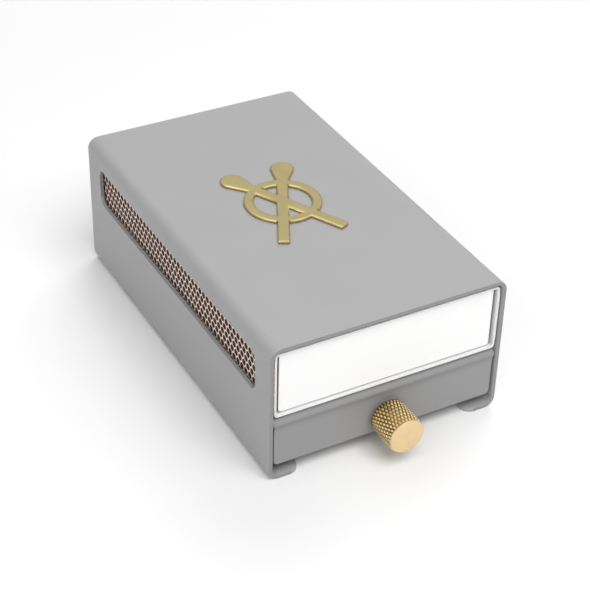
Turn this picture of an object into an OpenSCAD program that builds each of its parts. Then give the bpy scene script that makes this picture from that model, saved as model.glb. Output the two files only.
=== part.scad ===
// Matchbox holder: a folded steel sleeve that carries a large matchbox on a shelf, with a
// window to its striking strip and a shallow drawer below, opened by a knurled brass knob.
// X is across, -Y is the open front, Z is up. The ground is Z = 0.

/* [Matchbox] */
// Width of the matchbox, between its striking sides
box_w = 66.6; // [56:0.1:80]
// Length of the matchbox
box_l = 112; // [90:1:130]
// Height of the matchbox
box_h = 20; // [18:0.5:30]
// Thickness of its folded card
card_t = 0.6; // [0.4:0.1:1]
// Outer radius of the card's folds
card_r = 1.1; // [1.05:0.05:2]
// Play between the card sleeve and the tray, on each side
tray_play = 0.8; // [0.2:0.1:1]
// How far the tray's ends lie inside the card sleeve
tray_recess = 0.8; // [0.5:0.1:4]
// Height of the striking strips
striker_h = 15; // [12:0.5:15.5]

/* [Sleeve] */
// Thickness of the sleeve's and the drawer front's sheet
sheet_t = 1.2; // [0.8:0.1:1.6]
// Outer radius of the sleeve's bends
bend_r = 3.2; // [2.4:0.1:5]
// Gap between the matchbox and each side wall
box_side_gap = 0.5; // [0.3:0.1:1.5]
// Gap above the matchbox
box_head_gap = 0.7; // [0.3:0.1:3]
// How far the matchbox lies behind the sleeve's front edge
box_setback = 0.5; // [0:0.1:3]
// Gap between the matchbox and the back panel
box_tail_gap = 1; // [0.3:0.1:4]
// Width of each bottom flange, from the sleeve's outer side
foot_w = 9.5; // [8:0.1:16]
// Radius of the flanges' corners
foot_r = 3.2; // [1:0.1:4]

/* [Window] */
// Distance from each end of the sleeve to the window
window_margin = 8.1; // [5:0.1:20]
// Height of the window
window_h = 12.2; // [8:0.1:13]
// Radius of the window's corners
window_r = 2.8; // [0.5:0.1:3.5]

/* [Back panel] */
// Thickness of the back panel's sheet
back_t = 1.2; // [0.8:0.1:2]
// Depth of its flange, to the sleeve's rear edge
back_flange = 2; // [1:0.1:6]

/* [Shelf] */
// Height of the shelf's upper face above the ground
shelf_z = 20; // [18:0.5:30]
// Thickness of the shelf's sheet
shelf_t = 1; // [0.6:0.1:1.2]
// Outer radius of the shelf's bends
shelf_r = 1.8; // [1.3:0.1:2.5]

/* [Drawer] */
// Height of the front's lower edge above the ground
face_z = 4.4; // [3.9:0.1:6]
// How far the front lies behind the sleeve's front edge
face_setback = 0.3; // [0:0.1:2]
// Gap beside the front, to each side wall
face_side_gap = 0.55; // [0.3:0.05:1.5]
// Gap beside the front's upper lip, to each side wall
lip_side_gap = 0.2; // [0.1:0.05:0.5]
// How far the lip lies below the shelf's upper face
lip_drop = 0.6; // [0.3:0.1:2]
// Outer radius of the bend between the front and its lip
lip_r = 2.1; // [1.7:0.1:4]
// Depth of the lip, with its bend
lip_depth = 5.7; // [4.5:0.1:12]
// Radius of the front's lower corners
face_corner_r = 1.3; // [0.5:0.1:4]
// Thickness of the drawer tray's sheet
tray_t = 1; // [0.6:0.1:1.2]
// Outer radius of the drawer tray's bends
tray_r = 2; // [1.3:0.1:3]
// Gap beside the drawer tray, to the shelf's legs
drawer_side_gap = 0.4; // [0.2:0.1:1.5]
// Gap behind the drawer tray, to the back panel
drawer_tail_gap = 1.5; // [0.5:0.1:10]
// Width of the glide strips under the drawer tray
glide_w = 5; // [3:0.1:5]

/* [Knob] */
// Diameter over the knurling
knob_d = 10.6; // [9:0.1:13]
// Length of the knob's body
knob_l = 9.9; // [6.5:0.1:16]
// Height of the knob's axis above the ground
knob_z = 9.8; // [8.7:0.1:11]
// Diameter of the neck behind the body
neck_d = 7.4; // [5.5:0.1:8.5]
// Length of the neck
neck_l = 0.5; // [0.5:0.1:4]
// Diamonds round the knurling
knurl_count = 32; // [16:1:36]
// Rows of diamonds along the knurling, each staggered to the next
knurl_rows = 7; // [4:1:9]
// Depth of the knurling
knurl_depth = 0.42; // [0.2:0.02:0.6]
// Diameter of the knob's screw
screw_d = 3; // [2.5:0.5:3.5]

/* [Emblem] */
// Length of each crossed match, head included
emblem_match_l = 42; // [30:0.5:46]
// Angle of each match to the sleeve's length
emblem_angle = 27; // [18:1:40]
// Width of the match sticks
emblem_stick_w = 3.4; // [2.5:0.1:4]
// Width of the match heads
emblem_head_w = 6.8; // [5:0.1:8]
// Length of the match heads
emblem_head_l = 12; // [9:0.1:14]
// Outer diameter of the ring behind the crossing
emblem_ring_d = 22; // [18:0.1:24]
// Width of the ring's band
emblem_ring_band = 2.8; // [2.4:0.1:4]
// Thickness of the emblem
emblem_t = 1; // [0.6:0.1:2]

/* [Hidden] */
$fn = 64;

// One overrun for every cut
over = 1;
// Gap at faces that are welded or glued together
weld_gap = 0.05;
// Play under pieces that rest on another body
rest_gap = 0.1;

// Sleeve, worked out from the matchbox that it takes
inner_w = box_w + 2 * box_side_gap;
sleeve_w = inner_w + 2 * sheet_t;
box_z = shelf_z + rest_gap;
sleeve_h = box_z + box_h + box_head_gap + sheet_t;
stop_y = box_setback + box_l + box_tail_gap;
sleeve_l = stop_y + back_t + back_flange;
foot_x = sleeve_w / 2 - foot_w;

// Shelf and drawer
shelf_w = inner_w - 2 * weld_gap;
leg_clearance = 0.3;
leg_z = bend_r + leg_clearance;
shelf_gap = 0.5;
shelf_y = face_setback + lip_depth + shelf_gap;
lip_z = shelf_z - lip_drop;
tray_y = face_setback + sheet_t;
tray_w = shelf_w - 2 * shelf_t - 2 * drawer_side_gap;
tray_l = stop_y - drawer_tail_gap - tray_y;
tray_h = lip_z - lip_r - weld_gap - face_z;
glide_inset = 6;
glide_x = sleeve_w / 2 - (bend_r + foot_w) / 2;

// Knob and its screw, along the axis from the front's outer face
washer_t = 0.4;
washer_lip = 0.6;
rim_l = 0.3;
rim_inset = 0.15;
rim_chamfer = 0.2;
rim_embed = 0.05;
knurl_end_share = 0.55;
core_inset = 0.3;
knob_r = knob_d / 2;
bore_gap = 0.05;
hole_gap = 0.2;
screw_l = 9;
screw_head_d = 5.6;
screw_head_l = 2;
screw_slot_w = 0.8;
screw_slot_depth = 0.9;
bore_tail = 0.6;
bore_depth = screw_l - sheet_t - tray_t - washer_t + bore_tail;
knob_reach = washer_t + neck_l + knob_l - face_setback;

// Emblem
emblem_y_share = 0.51;
emblem_y = emblem_y_share * sleeve_l;
emblem_ring_r = emblem_ring_d / 2 - emblem_ring_band / 2;
emblem_end_r = 0.7;
emblem_flank_share = 0.98;
stud_d = 2;
stud_gap = 0.05;

// Matchbox tray and its matches
card_rest = 0.1;
card_head = 0.3;
inner_tray_w = box_w - 2 * card_t - 2 * tray_play;
inner_tray_l = box_l - 2 * tray_recess;
inner_tray_h = box_h - 2 * card_t - card_rest - card_head;
inner_tray_z = box_z + card_t + card_rest;
inner_tray_y = box_setback + tray_recess;
striker_t = 0.15;
match_w = 2.2;
match_head_d = 3.2;
match_head_l = 3.8;
match_gap = 0.2;
match_tip_gap = 2.5;
match_l = inner_tray_l - 2 * (card_t + match_tip_gap + match_head_l) - match_gap;
match_pitch = match_w / 2 + match_head_d / 2 + match_gap;
match_layers = 4;
match_count = floor((inner_tray_w - 2 * card_t - match_head_d - 2 * match_gap) / match_pitch) + 1;

// The middle of the whole object's footprint is the origin
front_y = (knob_reach - sleeve_l) / 2;

// Moves a piece from the sleeve's front edge to the object's own frame
module placed() {
    translate([0, front_y, 0]) children();
}

// Extrudes a profile drawn in X and Z along Y
module along_y(length, y = 0) {
    translate([0, y + length, 0]) rotate([90, 0, 0]) linear_extrude(length) children();
}

// Extrudes a profile drawn in Y and Z along X
module along_x(length, x = 0) {
    translate([x, 0, 0]) rotate([90, 0, 90]) linear_extrude(length) children();
}

// A rectangle that stands on the base line, with all corners round
module round_rect(w, h, r) {
    translate([r - w / 2, 0]) square([w - 2 * r, h]);
    translate([-w / 2, r]) square([w, h - 2 * r]);
    for (x = [r - w / 2, w / 2 - r], y = [r, h - r]) translate([x, y]) circle(r);
}

// A rectangle that stands on the base line, with its lower corners round
module round_base(w, h, r) {
    translate([r - w / 2, 0]) square([w - 2 * r, h]);
    translate([-w / 2, r]) square([w, h - r]);
    for (x = [r - w / 2, w / 2 - r]) translate([x, r]) circle(r);
}

// A channel bent from sheet, open at the top
module channel(w, h, t, r) {
    difference() {
        round_base(w, h, r);
        translate([0, t]) round_base(w - 2 * t, h, r - t);
    }
}

// An open tray: a bent channel with an upright plate at each end
module bent_tray(w, l, h, t, r) {
    along_y(l) channel(w, h, t, r);
    along_y(t) round_base(w, h, r);
    along_y(t, l - t) round_base(w, h, r);
}

// What rounds off a corner that points to the origin, in sheet of thickness t
module corner_cut(r, t) {
    difference() {
        translate([-over, -over, -over]) cube([r + over, r + over, t + 2 * over]);
        translate([r, r, -2 * over]) cylinder(r = r, h = t + 4 * over);
    }
}

// The two corners of a bottom flange, front and rear, on the +X side
module foot_corners() {
    translate([foot_x, 0, 0]) corner_cut(foot_r, sheet_t);
    translate([foot_x, sleeve_l, 0]) mirror([0, 1, 0]) corner_cut(foot_r, sheet_t);
}

// The places of the emblem's two studs
module stud_places() {
    for (y = [-emblem_ring_r, emblem_ring_r]) translate([0, emblem_y + y, 0]) children();
}

module sleeve_profile() {
    difference() {
        round_rect(sleeve_w, sleeve_h, bend_r);
        translate([0, sheet_t]) round_rect(inner_w, sleeve_h - 2 * sheet_t, bend_r - sheet_t);
        translate([-foot_x, -over]) square([2 * foot_x, sheet_t + 2 * over]);
    }
}

module window_cut() {
    along_x(sheet_t + 2 * over, -sleeve_w / 2 - over)
        translate([sleeve_l / 2, box_z + (box_h - window_h) / 2])
            round_rect(sleeve_l - 2 * window_margin, window_h, window_r);
}

module outer_sleeve() {
    color("darkgray") placed() difference() {
        along_y(sleeve_l) sleeve_profile();
        window_cut();
        foot_corners();
        mirror([1, 0, 0]) foot_corners();
        stud_places() translate([0, 0, sleeve_h - sheet_t - over])
            cylinder(d = stud_d + 2 * stud_gap, h = sheet_t + 2 * over);
    }
}

// A shallow pan that closes the rear, its flange flush with the sleeve's rear edge
module back_panel() {
    pan_w = inner_w - 2 * weld_gap;
    pan_h = sleeve_h - 2 * sheet_t - 2 * weld_gap;
    pan_r = bend_r - sheet_t - weld_gap;
    color("gray") placed() translate([0, stop_y, sheet_t + weld_gap]) difference() {
        along_y(back_t + back_flange) round_rect(pan_w, pan_h, pan_r);
        translate([0, 0, back_t]) along_y(back_flange + over, back_t)
            round_rect(pan_w - 2 * back_t, pan_h - 2 * back_t, max(pan_r - back_t, weld_gap));
    }
}

// The shelf under the matchbox, with legs welded to the side walls
module shelf() {
    color("gray") placed()
        along_y(stop_y - weld_gap - shelf_y, shelf_y)
            translate([0, shelf_z]) mirror([0, 1])
                channel(shelf_w, shelf_z - leg_z, shelf_t, shelf_r);
}

// One match of the emblem, its drop shaped head drawn in straight to the stick's width
module emblem_match() {
    head_r = emblem_head_w / 2;
    stick_r = emblem_stick_w / 2;
    head_y = emblem_match_l / 2 - head_r;
    root_y = emblem_match_l / 2 - emblem_head_l + stick_r;
    flank_r = emblem_flank_share * head_r;
    slope = asin((flank_r - stick_r) / (head_y - root_y));
    side = [cos(slope), -sin(slope)];
    tip = [0, head_y] + flank_r * side;
    root = [0, root_y] + stick_r * side;
    translate([0, -emblem_match_l / 2])
        round_base(emblem_stick_w, emblem_match_l / 2 + root_y, emblem_end_r);
    translate([0, head_y]) circle(head_r);
    polygon([root, tip, [-tip.x, tip.y], [-root.x, root.y]]);
}

// Two crossed matches on a ring, with studs into the sleeve's top
module emblem() {
    color("goldenrod") placed() {
        translate([0, emblem_y, sleeve_h]) linear_extrude(emblem_t) {
            for (a = [-emblem_angle, emblem_angle]) rotate(a) emblem_match();
            difference() {
                circle(d = emblem_ring_d);
                circle(d = emblem_ring_d - 2 * emblem_ring_band);
            }
        }
        stud_places() translate([0, 0, sleeve_h - sheet_t])
            cylinder(d = stud_d, h = sheet_t + emblem_t / 2);
    }
}

// The knob's axis, with +Z out of the drawer's front
module on_knob_axis() {
    placed() translate([0, face_setback, knob_z]) rotate([90, 0, 0]) children();
}

// The bend and the lip, drawn in Y and Z
module lip_profile() {
    translate([lip_r, lip_z - sheet_t]) square([lip_depth - lip_r, sheet_t]);
    translate([lip_r, lip_z - lip_r]) intersection() {
        difference() {
            circle(lip_r);
            circle(lip_r - sheet_t);
        }
        translate([-lip_r, 0]) square(lip_r);
    }
}

// One bent plate: the face, narrower than the lip so that it clears the walls
module drawer_front() {
    lip_w = inner_w - 2 * lip_side_gap;
    color("darkgray") difference() {
        placed() translate([0, face_setback, 0]) {
            along_x(lip_w, -lip_w / 2) lip_profile();
            along_y(sheet_t) translate([0, face_z])
                round_base(inner_w - 2 * face_side_gap, lip_z - lip_r - face_z, face_corner_r);
        }
        on_knob_axis() translate([0, 0, -sheet_t - over])
            cylinder(d = screw_d + 2 * hole_gap, h = sheet_t + 2 * over);
    }
}

module drawer_tray() {
    color("gray") difference() {
        placed() translate([0, tray_y, face_z]) bent_tray(tray_w, tray_l, tray_h, tray_t, tray_r);
        on_knob_axis() translate([0, 0, -sheet_t - tray_t - over])
            cylinder(d = screw_d + 2 * hole_gap, h = tray_t + 2 * over);
    }
}

// A glide strip on the +X side, over the bottom flange
module glide() {
    glide_h = face_z - sheet_t - rest_gap - weld_gap;
    reach = tray_l - 2 * glide_inset - glide_w;
    placed() translate([glide_x, tray_y + glide_inset + glide_w / 2, sheet_t + rest_gap]) {
        translate([-glide_w / 2, 0, 0]) cube([glide_w, reach, glide_h]);
        for (y = [0, reach]) translate([0, y, 0]) cylinder(d = glide_w, h = glide_h);
    }
}

module drawer_glide_left() {
    color("dimgray") mirror([1, 0, 0]) glide();
}

module drawer_glide_right() {
    color("dimgray") glide();
}

// Radius of a knurl point: high at the diamonds' tips, where column and row differ in
// parity, and low elsewhere and all round at both ends
function knurl_r(c, r) =
    (c + r) % 2 == 1 && r > 0 && r <= knurl_rows ? knob_r : knob_r - knurl_depth;

// Place of a knurl row on a band of length l: equal steps, with a shorter one at each end
function knurl_z(r, l) =
    let (step = l / (knurl_rows - 1 + 2 * knurl_end_share))
        r == 0 ? 0 : r > knurl_rows ? l : (r - 1 + knurl_end_share) * step;

// The knurled band: pointed diamonds in a staggered pattern, from z = 0 to l
module knurled_band(l) {
    cols = 2 * knurl_count;
    last = knurl_rows + 1;
    points = [for (r = [0:last], c = [0:cols - 1])
        let (a = 360 * c / cols, k = knurl_r(c, r)) [k * cos(a), k * sin(a), knurl_z(r, l)]];
    base = [[for (c = [0:cols - 1]) c]];
    top = [[for (c = [cols - 1:-1:0]) last * cols + c]];
    sides = [for (r = [0:last - 1], c = [0:cols - 1])
        let (n = (c + 1) % cols, p = r * cols + c, q = r * cols + n, u = p + cols, v = q + cols)
            each (c + r) % 2 == 0 ? [[p, u, v], [p, v, q]] : [[p, u, q], [q, u, v]]];
    polyhedron(points, concat(base, top, sides));
}

// Neck, rims and core of the knob, as half a section
module knob_section() {
    rim_r = knob_r - rim_inset;
    core_r = knob_r - knurl_depth - core_inset;
    back = washer_t + neck_l;
    front = back + knob_l;
    polygon([
        [0, washer_t],
        [neck_d / 2, washer_t],
        [neck_d / 2, back],
        [rim_r - rim_chamfer, back],
        [rim_r, back + rim_chamfer],
        [rim_r, back + rim_l],
        [core_r, back + rim_l],
        [core_r, front - rim_l],
        [rim_r, front - rim_l],
        [rim_r, front - rim_chamfer],
        [rim_r - rim_chamfer, front],
        [0, front]
    ]);
}

module knob() {
    band_z = washer_t + neck_l + rim_l - rim_embed;
    color("gold") on_knob_axis() difference() {
        union() {
            rotate_extrude() knob_section();
            translate([0, 0, band_z]) knurled_band(knob_l - 2 * rim_l + 2 * rim_embed);
        }
        translate([0, 0, washer_t - over])
            cylinder(d = screw_d + 2 * bore_gap, h = bore_depth + over);
    }
}

module knob_washer() {
    color("silver") on_knob_axis() difference() {
        cylinder(d = neck_d - washer_lip, h = washer_t - weld_gap);
        translate([0, 0, -over]) cylinder(d = screw_d + 2 * hole_gap, h = washer_t + 2 * over);
    }
}

// A pan head screw from inside the drawer
module knob_screw() {
    head_z = -sheet_t - tray_t;
    color("silver") on_knob_axis() difference() {
        union() {
            translate([0, 0, head_z - screw_head_l]) cylinder(d = screw_head_d, h = screw_head_l);
            translate([0, 0, head_z]) cylinder(d = screw_d, h = screw_l);
        }
        translate([-screw_head_d / 2 - over, -screw_slot_w / 2, head_z - screw_head_l - over])
            cube([screw_head_d + 2 * over, screw_slot_w, screw_slot_depth + over]);
    }
}

module matchbox_sleeve() {
    color("white") placed() along_y(box_l, box_setback) translate([0, box_z]) difference() {
        round_rect(box_w, box_h, card_r);
        translate([0, card_t])
            round_rect(box_w - 2 * card_t, box_h - 2 * card_t, card_r - card_t);
    }
}

// The striking strip on the +X side of the matchbox
module striker() {
    placed() translate([box_w / 2, box_setback, box_z + (box_h - striker_h) / 2])
        cube([striker_t, box_l, striker_h]);
}

module striker_left() {
    color("saddlebrown") mirror([1, 0, 0]) striker();
}

module striker_right() {
    color("saddlebrown") striker();
}

module matchbox_tray() {
    color("white") placed() translate([0, inner_tray_y, inner_tray_z])
        bent_tray(inner_tray_w, inner_tray_l, inner_tray_h, card_t, card_r);
}

// Repeats a match at its places in the tray, its head's end at y = 0. Neighbours lie
// staggered, so that each head is beside a stick
module match_places() {
    first = inner_tray_y + card_t + match_tip_gap;
    z0 = inner_tray_z + card_t + match_head_d / 2 + match_gap / 2;
    for (i = [0:match_count - 1], j = [0:match_layers - 1])
        placed() translate([
            (i - (match_count - 1) / 2) * match_pitch,
            first + ((i + j) % 2) * (match_head_l + match_gap),
            z0 + j * match_pitch
        ]) children();
}

module match_sticks() {
    color("burlywood") match_places()
        translate([-match_w / 2, match_head_l, -match_w / 2]) cube([match_w, match_l, match_w]);
}

// A drop shaped head: a dome, a short barrel and a cone down to the stick
module match_heads() {
    r = match_head_d / 2;
    color("brown") match_places() rotate([-90, 0, 0]) rotate_extrude() {
        intersection() {
            translate([0, r]) circle(r);
            square([r, r]);
        }
        polygon([
            [0, r],
            [r, r],
            [r, match_head_l - match_w / 2],
            [match_w / 2, match_head_l],
            [0, match_head_l]
        ]);
    }
}

outer_sleeve();
back_panel();
shelf();
emblem();
drawer_front();
drawer_tray();
drawer_glide_left();
drawer_glide_right();
knob();
knob_washer();
knob_screw();
matchbox_sleeve();
striker_left();
striker_right();
matchbox_tray();
match_sticks();
match_heads();
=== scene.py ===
import math
import random

import bmesh
import bpy
from mathutils import Matrix, Vector


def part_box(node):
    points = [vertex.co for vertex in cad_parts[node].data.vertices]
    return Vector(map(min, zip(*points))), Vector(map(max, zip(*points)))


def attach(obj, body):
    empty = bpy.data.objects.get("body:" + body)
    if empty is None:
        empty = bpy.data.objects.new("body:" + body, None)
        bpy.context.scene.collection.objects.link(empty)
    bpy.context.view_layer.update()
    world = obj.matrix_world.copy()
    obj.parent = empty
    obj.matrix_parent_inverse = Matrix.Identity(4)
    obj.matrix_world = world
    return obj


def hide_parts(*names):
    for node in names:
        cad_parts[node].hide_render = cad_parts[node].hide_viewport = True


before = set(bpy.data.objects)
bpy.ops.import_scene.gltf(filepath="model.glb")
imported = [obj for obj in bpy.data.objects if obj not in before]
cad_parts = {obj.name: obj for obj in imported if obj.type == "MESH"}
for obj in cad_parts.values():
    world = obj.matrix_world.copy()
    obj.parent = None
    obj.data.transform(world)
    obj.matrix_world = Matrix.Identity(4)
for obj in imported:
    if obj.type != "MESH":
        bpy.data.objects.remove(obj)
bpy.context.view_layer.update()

mm = 0.001               # the pieces' lengths are given in millimetres
print("frame loaded,", len(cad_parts), "nodes")


# camera
cameraLook = {
    "location": (-182.64, -330.29, 281.51),    # mm, in the holder's frame
    "azimuth": -29.079,
    "elevation": 35.285,
    "roll": 1.42,
    "lens": 98.58,
    "sensor": 36.0,
    "nearest": 0.01, "furthest": 20.0,         # metres that the camera sees between
}


def addCamera(look):
    turn = math.radians(look["azimuth"])
    rise = math.radians(look["elevation"])
    roll = math.radians(look["roll"])
    back = Vector((math.sin(turn) * math.cos(rise), -math.cos(turn) * math.cos(rise), math.sin(rise)))
    levelRight = Vector((math.cos(turn), math.sin(turn), 0.0))
    levelUp = back.cross(levelRight)
    right = levelRight * math.cos(roll) + levelUp * math.sin(roll)
    up = levelUp * math.cos(roll) - levelRight * math.sin(roll)
    data = bpy.data.cameras.new("photoCamera")
    data.sensor_width = look["sensor"]
    data.lens = look["lens"]
    data.clip_start = look["nearest"]
    data.clip_end = look["furthest"]
    camera = bpy.data.objects.new("photoCamera", data)
    camera.matrix_world = Matrix.Translation(Vector(look["location"]) * mm) @ Matrix(
        (right, up, back)).transposed().to_4x4()
    bpy.context.scene.collection.objects.link(camera)
    bpy.context.scene.camera = camera


addCamera(cameraLook)
bpy.context.scene.view_settings.view_transform = "Standard"
print("camera placed")


# studio
studioLook = {
    "floorSize": 6.0,
    "floorColour": (0.955, 0.955, 0.955),
    "floorRoughness": 0.9,
    "floorSpecular": 0.1,
    "floorFade": (0.22, 0.5),       # where the floor passes over into the white backdrop
    "worldLight": 0.18,             # what painted and card surfaces get from all round
    "backdrop": 1.0,                # what the camera sees
    "horizonGloss": 0.3,            # what metal shows level with the holder
    "zenithGloss": 1.0,             # and above it
    "zenithFrom": 0.9,              # the height, as a sine, at which that is reached
    "softboxSize": 1.0,
    "softboxAim": (0.0, 0.0, 0.02),
    # place in metres, power in watts, and whether metal shows the lamp
    "softboxes": {
        "frontSoftbox": {"place": (0.0, -0.725, 1.256), "power": 13.2, "mirrored": False},
        "sideSoftbox": {"place": (0.557, -0.795, 1.078), "power": 2.3, "mirrored": True},
        "leftSoftbox": {"place": (-1.094, 0.193, 0.932), "power": 1.3, "mirrored": True},
        "lowSoftbox": {"place": (-1.029, -0.594, 0.832), "power": 4.0, "mirrored": True},
        "rearSoftbox": {"place": (0.659, 0.785, 1.025), "power": 8.1, "mirrored": False},
    },
}


def addWorld(look):
    world = bpy.data.worlds.new("studio")
    bpy.context.scene.world = world
    world.use_nodes = True
    tree = world.node_tree
    background = tree.nodes["Background"]
    background.inputs["Color"].default_value = (1.0, 1.0, 1.0, 1.0)
    rays = tree.nodes.new("ShaderNodeLightPath")
    place = tree.nodes.new("ShaderNodeTexCoord")
    height = tree.nodes.new("ShaderNodeSeparateXYZ")
    tree.links.new(place.outputs["Generated"], height.inputs["Vector"])
    gloss = tree.nodes.new("ShaderNodeMapRange")
    gloss.inputs["From Max"].default_value = look["zenithFrom"]
    gloss.inputs["To Min"].default_value = look["horizonGloss"]
    gloss.inputs["To Max"].default_value = look["zenithGloss"]
    tree.links.new(height.outputs["Z"], gloss.inputs["Value"])
    mirrored = tree.nodes.new("ShaderNodeMath")
    mirrored.operation = "MAXIMUM"
    tree.links.new(rays.outputs["Is Glossy Ray"], mirrored.inputs[0])
    tree.links.new(rays.outputs["Is Transmission Ray"], mirrored.inputs[1])
    level = tree.nodes.new("ShaderNodeMapRange")
    level.inputs["To Min"].default_value = look["worldLight"]
    tree.links.new(mirrored.outputs[0], level.inputs["Value"])
    tree.links.new(gloss.outputs["Result"], level.inputs["To Max"])
    seen = tree.nodes.new("ShaderNodeMapRange")
    seen.inputs["To Max"].default_value = look["backdrop"]
    tree.links.new(rays.outputs["Is Camera Ray"], seen.inputs["Value"])
    tree.links.new(level.outputs["Result"], seen.inputs["To Min"])
    tree.links.new(seen.outputs["Result"], background.inputs["Strength"])


def addSoftbox(name, box, look):
    data = bpy.data.lights.new(name, "AREA")
    data.shape = "SQUARE"
    data.size = look["softboxSize"]
    data.energy = box["power"]
    lamp = bpy.data.objects.new(name, data)
    lamp.location = box["place"]
    lamp.visible_glossy = box["mirrored"]
    beam = Vector(look["softboxAim"]) - Vector(box["place"])
    lamp.rotation_euler = beam.to_track_quat("-Z", "Y").to_euler()
    bpy.context.scene.collection.objects.link(lamp)


def addFloor(look):
    half = look["floorSize"] / 2
    mesh = bpy.data.meshes.new("floor")
    corners = [(-half, -half, 0.0), (half, -half, 0.0), (half, half, 0.0), (-half, half, 0.0)]
    mesh.from_pydata(corners, [], [(0, 1, 2, 3)])
    floor = bpy.data.objects.new("floor", mesh)
    bpy.context.scene.collection.objects.link(floor)
    material = bpy.data.materials.new("studioFloor")
    material.use_nodes = True
    tree = material.node_tree
    shader = tree.nodes["Principled BSDF"]
    shader.inputs["Base Color"].default_value = (*look["floorColour"], 1.0)
    shader.inputs["Roughness"].default_value = look["floorRoughness"]
    shader.inputs["Specular IOR Level"].default_value = look["floorSpecular"]
    place = tree.nodes.new("ShaderNodeTexCoord")
    reach = tree.nodes.new("ShaderNodeVectorMath")
    reach.operation = "LENGTH"
    tree.links.new(place.outputs["Object"], reach.inputs[0])
    fade = tree.nodes.new("ShaderNodeMapRange")
    fade.interpolation_type = "SMOOTHSTEP"
    fade.inputs["From Min"].default_value, fade.inputs["From Max"].default_value = look["floorFade"]
    tree.links.new(reach.outputs["Value"], fade.inputs["Value"])
    rays = tree.nodes.new("ShaderNodeLightPath")
    seen = tree.nodes.new("ShaderNodeMath")
    seen.operation = "MULTIPLY"
    tree.links.new(fade.outputs["Result"], seen.inputs[0])
    tree.links.new(rays.outputs["Is Camera Ray"], seen.inputs[1])
    backdrop = tree.nodes.new("ShaderNodeEmission")
    backdrop.inputs["Strength"].default_value = look["backdrop"]
    blend = tree.nodes.new("ShaderNodeMixShader")
    tree.links.new(seen.outputs[0], blend.inputs["Fac"])
    tree.links.new(shader.outputs["BSDF"], blend.inputs[1])
    tree.links.new(backdrop.outputs["Emission"], blend.inputs[2])
    tree.links.new(blend.outputs["Shader"], tree.nodes["Material Output"].inputs["Surface"])
    mesh.materials.append(material)


addWorld(studioLook)
for softboxName, softbox in studioLook["softboxes"].items():
    addSoftbox(softboxName, softbox, studioLook)
addFloor(studioLook)
print("studio lit")


# materials
def newMaterial(name, colour, roughness, metallic=0.0, specular=0.5):
    material = bpy.data.materials.new(name)
    material.use_nodes = True
    tree = material.node_tree
    shader = tree.nodes["Principled BSDF"]
    shader.inputs["Base Color"].default_value = (*colour, 1.0)
    shader.inputs["Roughness"].default_value = roughness
    shader.inputs["Metallic"].default_value = metallic
    shader.inputs["Specular IOR Level"].default_value = specular
    return material, tree, shader


def addNoise(tree, grain, detail, stretch=(1.0, 1.0, 1.0)):
    # grain is the size of one speck in millimetres, detail how many finer layers it has
    place = tree.nodes.new("ShaderNodeTexCoord")
    mapping = tree.nodes.new("ShaderNodeMapping")
    mapping.inputs["Scale"].default_value = stretch
    noise = tree.nodes.new("ShaderNodeTexNoise")
    noise.inputs["Scale"].default_value = 1.0 / (grain * mm)
    noise.inputs["Detail"].default_value = detail
    tree.links.new(place.outputs["Object"], mapping.inputs["Vector"])
    tree.links.new(mapping.outputs["Vector"], noise.inputs["Vector"])
    return noise.outputs["Fac"]


def addRange(tree, value, low, high, fromLow=0.3, fromHigh=0.7):
    span = tree.nodes.new("ShaderNodeMapRange")
    span.inputs["From Min"].default_value = fromLow
    span.inputs["From Max"].default_value = fromHigh
    span.inputs["To Min"].default_value = low
    span.inputs["To Max"].default_value = high
    tree.links.new(value, span.inputs["Value"])
    return span.outputs["Result"]


def addBump(tree, shader, height, depth):
    # depth is the height of the relief in millimetres
    bump = tree.nodes.new("ShaderNodeBump")
    bump.inputs["Strength"].default_value = 1.0
    bump.inputs["Distance"].default_value = depth * mm
    tree.links.new(height, bump.inputs["Height"])
    tree.links.new(bump.outputs["Normal"], shader.inputs["Normal"])


def addTint(tree, shader, factor, dark, light):
    mix = tree.nodes.new("ShaderNodeMix")
    mix.data_type = "RGBA"
    mix.inputs["A"].default_value = (*dark, 1.0)
    mix.inputs["B"].default_value = (*light, 1.0)
    tree.links.new(factor, mix.inputs["Factor"])
    tree.links.new(mix.outputs["Result"], shader.inputs["Base Color"])


def scaled(colour, share):
    return tuple(min(1.0, channel * share) for channel in colour)


def addPatches(tree, shader, look, detail):
    # the colour varies a little, lighter and darker, from patch to patch
    tone = addRange(tree, addNoise(tree, look["patch"], detail), 0.0, 1.0)
    dark = scaled(look["colour"], 1 - look["vary"])
    light = scaled(look["colour"], 1 + look["vary"])
    addTint(tree, shader, tone, dark, light)


def powderCoat(name, look):
    material, tree, shader = newMaterial(name, look["colour"], look["roughness"], specular=look["specular"])
    addPatches(tree, shader, look, detail=2.0)
    addBump(tree, shader, addNoise(tree, look["grain"], detail=3.0), look["relief"])
    return material


def shadedBendFinish(name, look):
    # painted shade: the drawer front's paint darkens in a band under its bend, where the lip shades the
    # face, and lightens again further down
    material = powderCoat(name, look)
    tree = material.node_tree
    shader = tree.nodes["Principled BSDF"]
    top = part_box("drawer_front")[1].z - look["bendEnd"] * mm
    place = tree.nodes.new("ShaderNodeTexCoord")
    height = tree.nodes.new("ShaderNodeSeparateXYZ")
    tree.links.new(place.outputs["Object"], height.inputs["Vector"])
    # painted shade: a ramp of tone from the end of the bend down over the fade
    shadeRamp = tree.nodes.new("ShaderNodeValToRGB")
    ramp = shadeRamp.color_ramp
    ramp.interpolation = "B_SPLINE"
    for end in ramp.elements:
        end.color = (1.0, 1.0, 1.0, 1.0)
    for position, level in look["shadeRamp"]:
        stop = ramp.elements.new(position)
        stop.color = (level, level, level, 1.0)
    share = addRange(tree, height.outputs["Z"], 0.0, 1.0, top - look["fade"] * mm, top)
    tree.links.new(share, shadeRamp.inputs["Fac"])
    addTint(tree, shader, shadeRamp.outputs["Color"], scaled(look["colour"], 1 - look["shadeDepth"]), look["colour"])
    return material


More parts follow.
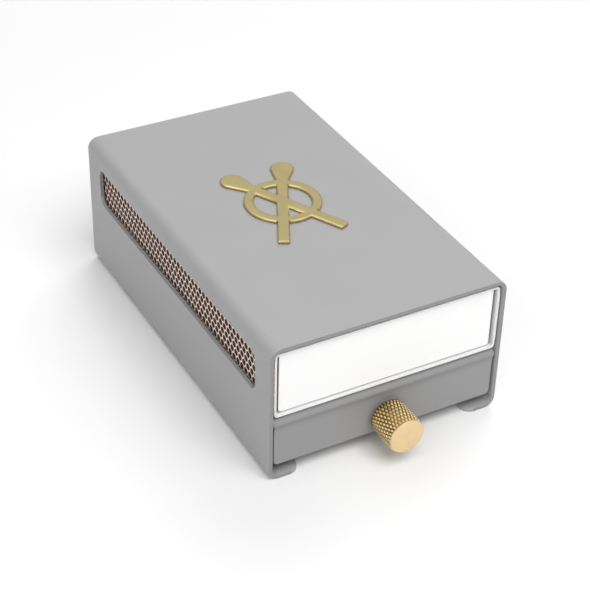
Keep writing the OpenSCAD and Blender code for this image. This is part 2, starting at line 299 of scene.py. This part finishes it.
def brassFinish(name, look):
    material, tree, shader = newMaterial(name, look["colour"], look["roughness"], metallic=1.0)
    addPatches(tree, shader, look, detail=3.0)
    streaks = addNoise(tree, look["grain"], detail=2.0)
    smoothest, dullest = (look["roughness"] * share for share in look["polish"])
    tree.links.new(addRange(tree, streaks, smoothest, dullest), shader.inputs["Roughness"])
    addBump(tree, shader, streaks, look["relief"])
    return material


def knurlShadeFinish(name, look):
    # brass with painted shade in the grooves, told by the distance to the knob's axis,
    # and painted shade next to the drawer, where the knob meets the washer
    material = brassFinish(name, look)
    tree = material.node_tree
    shader = tree.nodes["Principled BSDF"]
    low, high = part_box("knob")
    centre = (low + high) / 2
    place = tree.nodes.new("ShaderNodeTexCoord")
    arm = tree.nodes.new("ShaderNodeVectorMath")
    arm.operation = "MULTIPLY_ADD"
    arm.inputs[1].default_value = (1.0, 0.0, 1.0)
    arm.inputs[2].default_value = (-centre.x, 0.0, -centre.z)
    tree.links.new(place.outputs["Object"], arm.inputs[0])
    reach = tree.nodes.new("ShaderNodeVectorMath")
    reach.operation = "LENGTH"
    tree.links.new(arm.outputs["Vector"], reach.inputs[0])
    radius = (high.x - low.x) / 2
    groove = addRange(tree, reach.outputs["Value"], 0.0, 1.0,
                      radius - look["darkFrom"] * mm, radius - look["brightFrom"] * mm)
    depth = tree.nodes.new("ShaderNodeSeparateXYZ")
    tree.links.new(place.outputs["Object"], depth.inputs["Vector"])
    root = addRange(tree, depth.outputs["Y"], 1.0, look["rootShadeShare"],
                    high.y - look["rootFrom"] * mm, high.y - look["rootTo"] * mm)
    # painted shade: the groove and washer-end darkening combined
    shadedShare = tree.nodes.new("ShaderNodeMath")
    shadedShare.operation = "MULTIPLY"
    tree.links.new(groove, shadedShare.inputs[0])
    tree.links.new(root, shadedShare.inputs[1])
    addTint(tree, shader, shadedShare.outputs[0], look["grooveShadeColour"], look["colour"])
    return material


def cardFinish(name, look):
    material, tree, shader = newMaterial(name, look["colour"], look["roughness"], specular=look["specular"])
    fibres = addNoise(tree, look["grain"], detail=4.0, stretch=look["stretch"])
    dark = scaled(look["colour"], 1 - look["vary"])
    addTint(tree, shader, addRange(tree, fibres, 0.0, 1.0), dark, look["colour"])
    addBump(tree, shader, fibres, look["relief"])
    return material


def woodFinish(name, look):
    material, tree, shader = newMaterial(name, look["colour"], look["roughness"], specular=look["specular"])
    grain = addNoise(tree, look["grain"], detail=4.0, stretch=look["stretch"])
    addTint(tree, shader, addRange(tree, grain, 0.0, 1.0), look["dark"], look["colour"])
    addBump(tree, shader, grain, look["relief"])
    return material


# patches, grain and relief are in millimetres, and vary is a share of the colour
coatLook = {
    "roughness": 0.5, "specular": 0.35, "patch": 14.0, "vary": 0.012, "grain": 0.35, "relief": 0.006,
}
# one powder coat in lit and shaded copies: the drawer's darker paint is painted shade, for a front that
# gets less light than the top
sleevePaint = powderCoat("sleevePaint", {**coatLook, "colour": (0.395, 0.395, 0.397)})
drawerShadedPaint = powderCoat("drawerShadedPaint", {**coatLook, "colour": (0.312, 0.312, 0.314)})
# painted shade: a still darker copy of the coat for the sheet's cut edges
cutEdgeShadedPaint = powderCoat("cutEdgeShadedPaint", {**coatLook, "colour": (0.285, 0.285, 0.287)})
# painted shade: the drawer's paint, darkened in a band under the front's bend
bendShadedPaint = shadedBendFinish("bendShadedPaint", {
    **coatLook, "colour": (0.312, 0.312, 0.314),
    "bendEnd": 1.5,         # below the front's upper edge
    "fade": 4.2,            # from there down, over which the tone changes
    "shadeDepth": 0.2,            # how much darker the painted shade is
    "shadeRamp": ((0.45, 1.0), (0.72, 0.0), (0.86, 0.0)),      # places over the fade, 0 where it is darkest
})

brassLook = {"polish": (0.85, 1.2), "grain": 0.2, "relief": 0.002}      # polish is a share of the roughness
emblemBrass = brassFinish("emblemBrass", {
    **brassLook, "colour": (0.67, 0.555, 0.265), "roughness": 0.3,
    "patch": 5.0, "vary": 0.05, "grain": 0.25, "relief": 0.003})
knobBrass = brassFinish("knobBrass", {
    **brassLook, "colour": (0.86, 0.655, 0.375), "roughness": 0.3, "patch": 3.0, "vary": 0.04})
# painted shade: the knurl darkens in its grooves and next to the washer
knurlShadedBrass = knurlShadeFinish("knurlShadedBrass", {
    **brassLook, "colour": (0.98, 0.745, 0.375), "roughness": 0.22, "patch": 3.0, "vary": 0.04,
    "grooveShadeColour": (0.12, 0.06, 0.01),
    "darkFrom": 0.4, "brightFrom": 0.16,                    # below the crests
    "rootShadeShare": 0.3, "rootFrom": 1.5, "rootTo": 0.7,       # from the washer
})
plainSteel = brassFinish("plainSteel", {
    **brassLook, "colour": (0.6, 0.6, 0.61), "roughness": 0.32, "patch": 2.0, "vary": 0.04, "grain": 0.15})
blackNylon = powderCoat("blackNylon", {
    "colour": (0.05, 0.05, 0.053), "roughness": 0.55, "specular": 0.4,
    "patch": 6.0, "vary": 0.1, "grain": 0.3, "relief": 0.01})

fibreLook = {"stretch": (1.0, 0.45, 1.0)}                   # fibres lie along the box
coatedLook = {
    **fibreLook, "roughness": 0.55, "specular": 0.3, "vary": 0.015, "grain": 0.3, "relief": 0.004,
}
trayWhite = cardFinish("trayWhite", {**coatedLook, "colour": (0.99, 0.99, 0.988)})
# painted shade: the sleeve is the tray's white card, given a greyer tone so its strongly lit top does not
# burn out
sleeveShadedCard = cardFinish("sleeveShadedCard", {**coatedLook, "colour": (0.83, 0.83, 0.827)})
# bare grey card, made dark enough to also paint the shade in the gap between tray and sleeve
rawCardAndShade = cardFinish("rawCardAndShade", {
    **fibreLook, "colour": (0.36, 0.33, 0.29), "roughness": 0.8, "specular": 0.2,
    "vary": 0.12, "grain": 0.35, "relief": 0.01})
stripCard = cardFinish("stripCard", {
    **fibreLook, "colour": (0.995, 0.86, 0.8), "roughness": 0.8, "specular": 0.2,
    "vary": 0.15, "grain": 0.4, "relief": 0.01})
strikerGrit = cardFinish("strikerGrit", {
    **fibreLook, "colour": (0.075, 0.025, 0.014), "roughness": 0.85, "specular": 0.2,
    "vary": 0.5, "grain": 0.18, "relief": 0.04})

matchWood = woodFinish("matchWood", {
    "colour": (0.8, 0.63, 0.42), "dark": (0.66, 0.48, 0.29), "roughness": 0.7, "specular": 0.3,
    "stretch": (1.0, 0.04, 1.0), "grain": 0.5, "relief": 0.02})
matchHead = powderCoat("matchHead", {
    "colour": (0.36, 0.05, 0.035), "roughness": 0.75, "specular": 0.3,
    "patch": 1.2, "vary": 0.2, "grain": 0.25, "relief": 0.05})
print("materials made")


# shared ways of making pieces
shapeLook = {
    "weld": 0.002,          # mm between points that are one
    "flat": 0.4,            # degrees between faces that are one
    "sharp": 35,            # degrees from which on an edge is softened
    "segments": 3,          # of a softened edge
}


def makePiece(name, points, faces, materials, body, replaced=(), faceMaterials=None, smooth=True):
    mesh = bpy.data.meshes.new(name)
    mesh.from_pydata([tuple(point) for point in points], [], faces)
    for material in materials:
        mesh.materials.append(material)
    if faceMaterials:
        mesh.polygons.foreach_set("material_index", faceMaterials)
    if smooth:
        mesh.shade_smooth()
    mesh.update()
    piece = bpy.data.objects.new(name, mesh)
    bpy.context.scene.collection.objects.link(piece)
    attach(piece, body)
    if replaced:
        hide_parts(*replaced)
    return piece


def plainShape(nodeName):
    # the solid's shape as a clean mesh, its flat faces in one piece each
    shape = bmesh.new()
    shape.from_mesh(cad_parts[nodeName].data)
    bmesh.ops.remove_doubles(shape, verts=shape.verts, dist=shapeLook["weld"] * mm)
    bmesh.ops.dissolve_limit(shape, angle_limit=math.radians(shapeLook["flat"]),
                             verts=shape.verts, edges=shape.edges)
    shape.normal_update()
    return shape


def finishShape(shape):
    shape.verts.index_update()
    points = [vertex.co.copy() for vertex in shape.verts]
    faces = [[vertex.index for vertex in face.verts] for face in shape.faces]
    shape.free()
    return points, faces


def softenEdges(piece, width):
    bevel = piece.modifiers.new("softEdges", "BEVEL")
    bevel.width = width * mm
    bevel.segments = shapeLook["segments"]
    bevel.limit_method = "ANGLE"
    bevel.angle_limit = math.radians(shapeLook["sharp"])
    bevel.use_clamp_overlap = False
    piece.modifiers.new("evenNormals", "WEIGHTED_NORMAL")


def softenedPiece(name, nodeName, material, body, edge):
    points, faces = finishShape(plainShape(nodeName))
    piece = makePiece(name, points, faces, [material], body, (nodeName,))
    softenEdges(piece, edge)
    return piece


def dressNode(nodeName, material):
    # the solid itself shows, in this script's material
    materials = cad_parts[nodeName].data.materials
    materials.clear()
    materials.append(material)


def tubeFaces(start, size):
    # the walls between a ring of points and the next ring of as many
    return [(start + i, start + (i + 1) % size, start + size + (i + 1) % size, start + size + i)
            for i in range(size)]


# sheet metal
sheetLook = {
    "edge": 0.14,           # width of a softened edge
    "cut": 0.99,            # how squarely a face looks to the front or the rear where the sheet was cut
}
hollowLook = {
    "bendEnd": 2.1,         # below the lip's upper face
    "length": 3.2, "depth": 0.26, "steps": 7,
    "tolerance": 0.001,     # from a cut to a point that is taken to lie on it
}


def addSleeveSheet(look):
    sleeve = softenedPiece("sleeveSheet", "outer_sleeve", sleevePaint, "housing",
                           look["edge"])
    sleeve.data.materials.append(cutEdgeShadedPaint)
    for face in sleeve.data.polygons:
        # painted shade: faces that look to the front or the rear, where the sheet was cut, get a darker
        # copy of the paint
        face.material_index = 1 if abs(face.normal.y) > look["cut"] else 0


def addDrawerFace(look):
    # the sheet springs back a little under its bend, so that the face lies behind it
    shape = plainShape("drawer_front")
    low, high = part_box("drawer_front")
    top = high.z - look["bendEnd"] * mm
    length = look["length"] * mm
    for step in range(look["steps"] + 1):
        bmesh.ops.bisect_plane(shape, geom=shape.verts[:] + shape.edges[:] + shape.faces[:],
                               plane_co=(0.0, 0.0, top - length * step / look["steps"]),
                               plane_no=(0.0, 0.0, 1.0), dist=look["tolerance"] * mm)
    for vertex in shape.verts:
        share = min(1.0, max(0.0, (top - vertex.co.z) / length))
        vertex.co.y += look["depth"] * mm * (1 - (1 - share) ** 2)
    shape.normal_update()
    points, faces = finishShape(shape)
    piece = makePiece("drawerFace", points, faces, [bendShadedPaint], "drawer", ("drawer_front",))
    softenEdges(piece, sheetLook["edge"])


addSleeveSheet(sheetLook)
softenedPiece("backPan", "back_panel", sleevePaint, "housing", sheetLook["edge"])
softenedPiece("shelfSheet", "shelf", sleevePaint, "housing", sheetLook["edge"])
addDrawerFace(hollowLook)
softenedPiece("drawerPan", "drawer_tray", drawerShadedPaint, "drawer", sheetLook["edge"])
print("sheet metal dressed")


# emblem
emblemLook = {
    "round": 0.55, "segments": 5, "profile": 0.5,
    "tolerance": 0.01,      # from the upper face to an edge of it
}


def addEmblem(look):
    shape = plainShape("emblem")
    top = max(vertex.co.z for vertex in shape.verts) - look["tolerance"] * mm
    sharp = math.radians(shapeLook["sharp"])
    rim = [edge for edge in shape.edges
           if all(vertex.co.z > top for vertex in edge.verts)
           and len(edge.link_faces) == 2 and edge.calc_face_angle() > sharp]
    bmesh.ops.bevel(shape, geom=rim, offset=look["round"] * mm, offset_type="OFFSET",
                    segments=look["segments"], profile=look["profile"], affect="EDGES",
                    clamp_overlap=False)
    points, faces = finishShape(shape)
    piece = makePiece("emblemPlate", points, faces, [emblemBrass], "housing", ("emblem",))
    piece.modifiers.new("evenNormals", "WEIGHTED_NORMAL")


addEmblem(emblemLook)
print("emblem made")


# knob
knobLook = {
    "diamonds": 32,         # round the knob
    "rowStep": 1.22,        # from one row of diamonds to the next
    "firstRow": 0.99,       # behind the front
    "depth": 0.4,
    "crestShare": 0.25,     # of a diamond, flat on top
    "stepsPerRow": 4,       # rings of points from one row to the next
    "chamfer": 0.28, "rimInset": 0.04,
    "clearShare": 1.2,      # of the chamfer, kept free of rings at each end
    "neck": 0.5, "neckRadius": 3.7, "neckRound": 0.15, "seatRound": 0.1,
    "boreRadius": 1.6, "tipRadius": 0.01,
    "sharp": 30,            # degrees from which on an edge shows as one
}


def knurledRadius(look, radius, turn, along):
    # turn in diamonds round the knob, along in rows from the first row's crests
    first = turn + along / 2
    second = turn - along / 2
    toGroove = 0.5 - max(abs(first - round(first)), abs(second - round(second)))
    slope = 0.5 - look["crestShare"] / 2
    return radius - look["depth"] * mm * (1 - min(1.0, toGroove / slope))


def knurlPlaces(look, front, back):
    # rings of the knurled body, from the front to the back, with finer ones in the chamfers
    chamfer = look["chamfer"] * mm
    clear = chamfer * look["clearShare"]
    step = look["rowStep"] * mm / look["stepsPerRow"]
    firstCrest = front + look["firstRow"] * mm
    places = {front, front + chamfer / 2, front + chamfer, back - chamfer, back - chamfer / 2, back}
    for index in range(-look["stepsPerRow"], int((back - firstCrest) / step) + 1):
        place = firstCrest + index * step
        if front + clear < place < back - clear:
            places.add(place)
    return sorted(places)


def addKnob(look):
    low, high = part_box("knob")
    centre = (low + high) / 2
    radius = (high.x - low.x) / 2
    front = low.y
    washerBack = high.y
    bodyBack = washerBack - look["neck"] * mm
    chamfer = look["chamfer"] * mm
    columns = look["diamonds"] * 2 * look["stepsPerRow"]
    places = knurlPlaces(look, front, bodyBack)
    points = []

    def addRing(place, radiusOf):
        for column in range(columns):
            turn = column / (2 * look["stepsPerRow"])
            angle = 2 * math.pi * column / columns
            size = radiusOf(turn)
            x = centre.x + size * math.cos(angle)
            z = centre.z + size * math.sin(angle)
            points.append(Vector((x, place, z)))

    addRing(front, lambda turn: look["tipRadius"] * mm)
    for place in places:
        along = (place - front - look["firstRow"] * mm) / (look["rowStep"] * mm)
        nearest = min(place - front, bodyBack - place)
        limit = radius - look["rimInset"] * mm - max(0.0, chamfer - nearest)
        addRing(place, lambda turn: min(limit, knurledRadius(look, radius, turn, along)))
    neckRadius = look["neckRadius"] * mm
    neckRound = look["neckRound"] * mm
    seatRound = look["seatRound"] * mm
    addRing(bodyBack, lambda turn: neckRadius + neckRound)
    addRing(bodyBack + neckRound, lambda turn: neckRadius)
    addRing(washerBack - seatRound, lambda turn: neckRadius)
    addRing(washerBack, lambda turn: neckRadius - seatRound)
    addRing(washerBack, lambda turn: look["boreRadius"] * mm)
    faces, kinds = [], []
    for ring in range(len(points) // columns - 1):
        # the knurling ends at the front's chamfer, which is bright like the front
        knurled = 1 <= ring < len(places) and places[ring - 1] > front + chamfer / 2
        faces.extend(tubeFaces(ring * columns, columns))
        kinds.extend([1 if knurled else 0] * columns)
    piece = makePiece("knurledKnob", points, faces, [knobBrass, knurlShadedBrass], "drawer",
                      ("knob",), kinds)
    mesh = piece.data
    shape = bmesh.new()
    shape.from_mesh(mesh)
    bmesh.ops.recalc_face_normals(shape, faces=shape.faces)
    bmesh.ops.holes_fill(shape, edges=[edge for edge in shape.edges if edge.is_boundary])
    for edge in shape.edges:
        if len(edge.link_faces) == 2 and edge.calc_face_angle() > math.radians(look["sharp"]):
            edge.smooth = False
    shape.to_mesh(mesh)
    shape.free()


addKnob(knobLook)
for nodeName in ("knob_washer", "knob_screw"):
    dressNode(nodeName, plainSteel)
for nodeName in ("drawer_glide_left", "drawer_glide_right"):
    dressNode(nodeName, blackNylon)
print("knob knurled")


# matchbox
cardLook = {
    "edge": 0.12, "trayEdge": 0.28,
    "lift": 0.12,           # the tray stands this much higher than its solid
    "bareShadedSide": 0.9, "bareShadedUnder": -0.3,     # how far a face looks to a side or down to get the dark bare card, which also paints the shade in the gap
}


def addTrayCard(look):
    tray = softenedPiece("trayCard", "matchbox_tray", trayWhite, "match_tray", look["trayEdge"])
    tray.data.materials.append(rawCardAndShade)
    for vertex in tray.data.vertices:
        vertex.co.z += look["lift"] * mm
    for face in tray.data.polygons:
        # the tray's sides and underside: bare card and painted shade for the gap to the sleeve
        bareAndShaded = abs(face.normal.x) > look["bareShadedSide"] or face.normal.z < look["bareShadedUnder"]
        face.material_index = 1 if bareAndShaded else 0


strikerLook = {
    "pitch": 2.27,          # from one cell to the next along the box
    "net": 0.5,             # width of the pale lines
    "border": 0.25,         # pale edge along the strip
    "relief": 0.05,
    "phase": 0.4,
    "lift": 0.55,           # of the rows over the strip's middle
}


def clipped(outline, lowY, highY, lowZ, highZ):
    # the part of a cell that lies inside the strip's border
    for axis, limit, side in ((0, lowY, 1), (0, highY, -1), (1, lowZ, 1), (1, highZ, -1)):
        kept = []
        for i, point in enumerate(outline):
            last = outline[i - 1]
            inside, lastInside = (point[axis] - limit) * side > 0, (last[axis] - limit) * side > 0
            if inside != lastInside:
                share = (limit - last[axis]) / (point[axis] - last[axis])
                kept.append(tuple(a + (b - a) * share for a, b in zip(last, point)))
            if inside:
                kept.append(point)
        outline = kept
    return outline


def addStriker(name, nodeName, outward, look):
    # pale strip with a honeycomb of raised dark cells on it
    low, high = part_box(nodeName)
    face = low.x if outward < 0 else high.x
    root = high.x if outward < 0 else low.x
    ground = face - outward * look["relief"] * mm
    points, faces, kinds = [], [], []

    def addBlock(outline, inner, outer, kind, sideKind):
        start = len(points)
        size = len(outline)
        for x in (inner, outer):
            points.extend(Vector((x, y, z)) for y, z in outline)
        faces.extend(tubeFaces(start, size))
        faces.append(tuple(start + size + i for i in range(size)))
        faces.append(tuple(start + i for i in reversed(range(size))))
        kinds.extend([sideKind] * size + [kind] * 2)

    addBlock([(low.y, low.z), (high.y, low.z), (high.y, high.z), (low.y, high.z)], root, ground, 0, 2)
    pitch = look["pitch"] * mm
    rowStep = pitch * math.sqrt(3) / 2
    cell = (look["pitch"] - look["net"]) * mm / math.sqrt(3)
    corners = [(cell * math.sin(math.radians(60 * corner)), cell * math.cos(math.radians(60 * corner)))
               for corner in range(6)]
    border = look["border"] * mm
    middle = (low.z + high.z) / 2 + look["lift"] * mm
    rows = int((high.z - low.z) / 2 / rowStep) + 1
    for row in range(-rows, rows + 1):
        z = middle + row * rowStep
        y = low.y + (look["phase"] + 0.5 * (row % 2) - 1) * pitch
        while y < high.y + pitch:
            outline = [(y + cellY, z + cellZ) for cellY, cellZ in corners]
            outline = clipped(outline, low.y + border, high.y - border, low.z + border, high.z - border)
            if outline:
                addBlock(outline, ground, face, 1, 1)
            y += pitch
    piece = makePiece(name, points, faces, [stripCard, strikerGrit, sleeveShadedCard], "matchbox",
                      (nodeName,), kinds, smooth=False)
    shape = bmesh.new()
    shape.from_mesh(piece.data)
    bmesh.ops.recalc_face_normals(shape, faces=shape.faces)
    shape.to_mesh(piece.data)
    shape.free()


softenedPiece("matchboxCard", "matchbox_sleeve", sleeveShadedCard, "matchbox", cardLook["edge"])
addTrayCard(cardLook)
addStriker("strikerStripLeft", "striker_left", -1, strikerLook)
addStriker("strikerStripRight", "striker_right", 1, strikerLook)
print("matchbox made")


# matches
matchLook = {
    "columns": 21, "layers": 4, "pitch": 2.9, "seed": 7,
    "stagger": 4.0,         # every other match lies this much further back
    "shift": 0.4,           # and each up to this much more
    "tilt": 0.08,           # how far a stick's end leans to a side, at most
    "stick": 2.2, "stickChamfer": 0.12,
    "sunk": 0.6,            # of the stick, in its head
    "headWidth": 3.1, "rings": 9, "sides": 14,
    "thinnest": 0.94, "uneven": 0.05,       # shares of the head's width
    "tip": 0.06, "bulge": 0.62,             # where the bulb starts, and how near its tip it is roundest
    "leastShare": 0.05,                     # of the width, at the bulb's ends
    "collarFrom": 0.55, "collarShare": 0.8,         # from there on it is at least this share of the stick
}


def headShare(look, share):
    # the half width of a bulb, roundest near its tip and drawn in to the stick
    along = look["tip"] + (1 - look["tip"]) * share ** look["bulge"]
    return max(look["leastShare"], math.sin(math.pi * min(1.0, along)) ** 0.5)


def addHead(points, faces, look, x, y, z, length):
    base = len(points)
    rings, sides = look["rings"], look["sides"]
    width = random.uniform(look["thinnest"], 1.0)
    for ring in range(rings):
        share = ring / (rings - 1)
        size = headShare(look, share) * width
        if share > look["collarFrom"]:
            size = max(size, look["collarShare"] * look["stick"] / look["headWidth"])
        for side in range(sides):
            angle = 2 * math.pi * side / sides
            uneven = 1 - look["uneven"] * random.random()
            radius = look["headWidth"] / 2 * mm * size * uneven
            points.append(Vector((x + radius * math.cos(angle), y + share * length,
                                  z + radius * math.sin(angle))))
    for ring in range(rings - 1):
        faces.extend(tubeFaces(base + ring * sides, sides))
    faces.append(tuple(base + i for i in range(sides)))
    faces.append(tuple(base + (rings - 1) * sides + i for i in reversed(range(sides))))


def addStick(points, faces, outline, x, z, front, back, lean):
    start = len(points)
    size = len(outline)
    for end, offset in ((front, 0.0), (back, lean)):
        points.extend(Vector((x + px + offset, end, z + pz)) for px, pz in outline)
    faces.extend(tubeFaces(start, size))
    faces.append(tuple(start + i for i in reversed(range(size))))
    faces.append(tuple(start + size + i for i in range(size)))


def addMatches(look):
    random.seed(look["seed"])
    stickLow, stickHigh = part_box("match_sticks")
    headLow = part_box("match_heads")[0]
    stagger = look["stagger"] * mm
    stickLength = stickHigh.y - stickLow.y - stagger
    headLength = stickLow.y - headLow.y
    pitch = look["pitch"] * mm
    half = look["stick"] / 2 * mm
    inner = half - look["stickChamfer"] * mm
    outline = [(half, inner), (inner, half), (-inner, half), (-half, inner),
               (-half, -inner), (-inner, -half), (inner, -half), (half, -inner)]
    stickPoints, stickFaces, headPoints, headFaces = [], [], [], []
    for column in range(look["columns"]):
        for layer in range(look["layers"]):
            x = (column - (look["columns"] - 1) / 2) * pitch
            z = stickLow.z + half + layer * pitch
            y = headLow.y + ((column + layer) % 2) * stagger + random.uniform(0, look["shift"]) * mm
            lean = random.uniform(-look["tilt"], look["tilt"]) * mm
            front = y + headLength - look["sunk"] * mm
            back = y + headLength + stickLength - look["shift"] * mm
            addStick(stickPoints, stickFaces, outline, x, z, front, back, lean)
            addHead(headPoints, headFaces, look, x, y, z, headLength)
    makePiece("matchSticks", stickPoints, stickFaces, [matchWood], "match_tray",
              ("match_sticks",), smooth=False)
    makePiece("matchHeads", headPoints, headFaces, [matchHead], "match_tray",
              ("match_heads",))


addMatches(matchLook)
print("matches laid")
